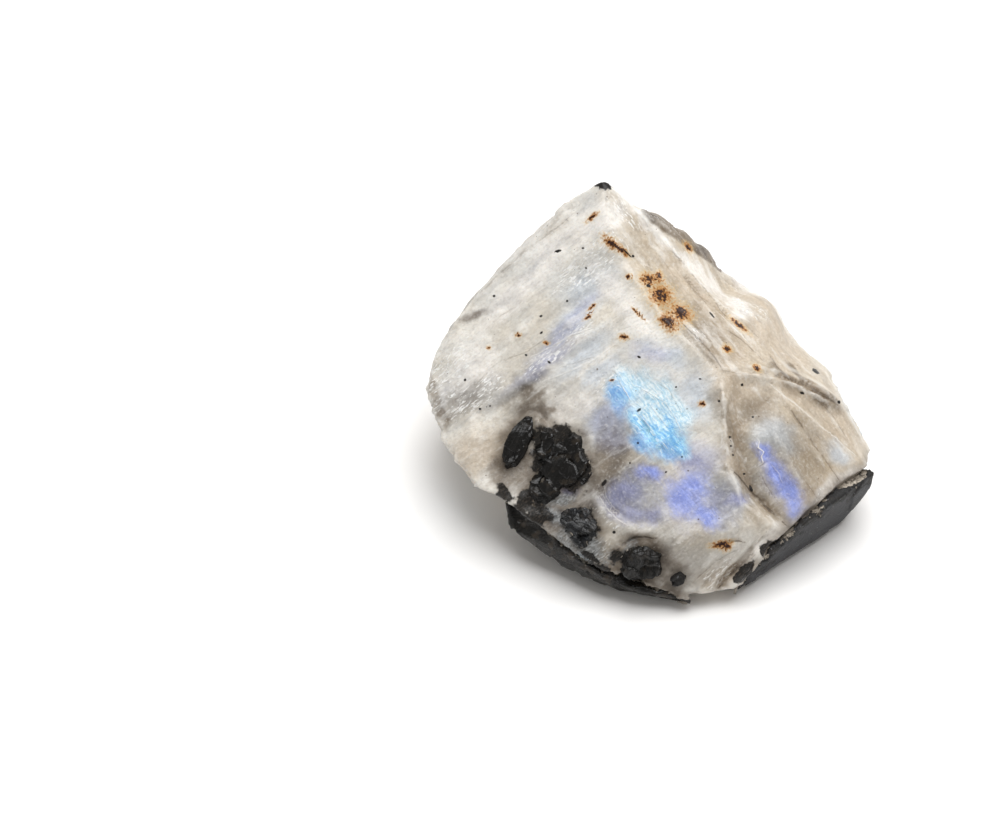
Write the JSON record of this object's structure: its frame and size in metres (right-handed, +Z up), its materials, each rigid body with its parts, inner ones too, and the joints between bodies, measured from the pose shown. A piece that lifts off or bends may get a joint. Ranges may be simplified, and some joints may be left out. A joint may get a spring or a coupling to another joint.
{
  "type": "rough moonstone",
  "caption": "Rough lump of milky rainbow moonstone with cleavage faces, ridges and ledges, resting on a small flat spot, with black tourmaline crystals grown into its lower edge.",
  "frame": {"origin": "under the middle of the stone, on the surface it rests on", "axes": "+Z up; -Y towards the viewer who sees the large front cleavage face; +X to that viewer's right"},
  "size_m": [0.0448, 0.0412, 0.027],
  "materials": {
    "feldspar": "milky, half translucent, with pearly cleavage and blue flashes",
    "tourmaline": "glassy black with fine lengthwise ribs"
  },
  "bodies": {
    "root": {"moonstone": "feldspar", "tourmaline_slab": "tourmaline", "tourmaline_seam": "tourmaline", "tourmaline_prism": "tourmaline", "tourmaline_cluster": "tourmaline", "tourmaline_block": "tourmaline", "tourmaline_stub": "tourmaline", "tourmaline_button": "tourmaline"}
  },
  "joints": []
}
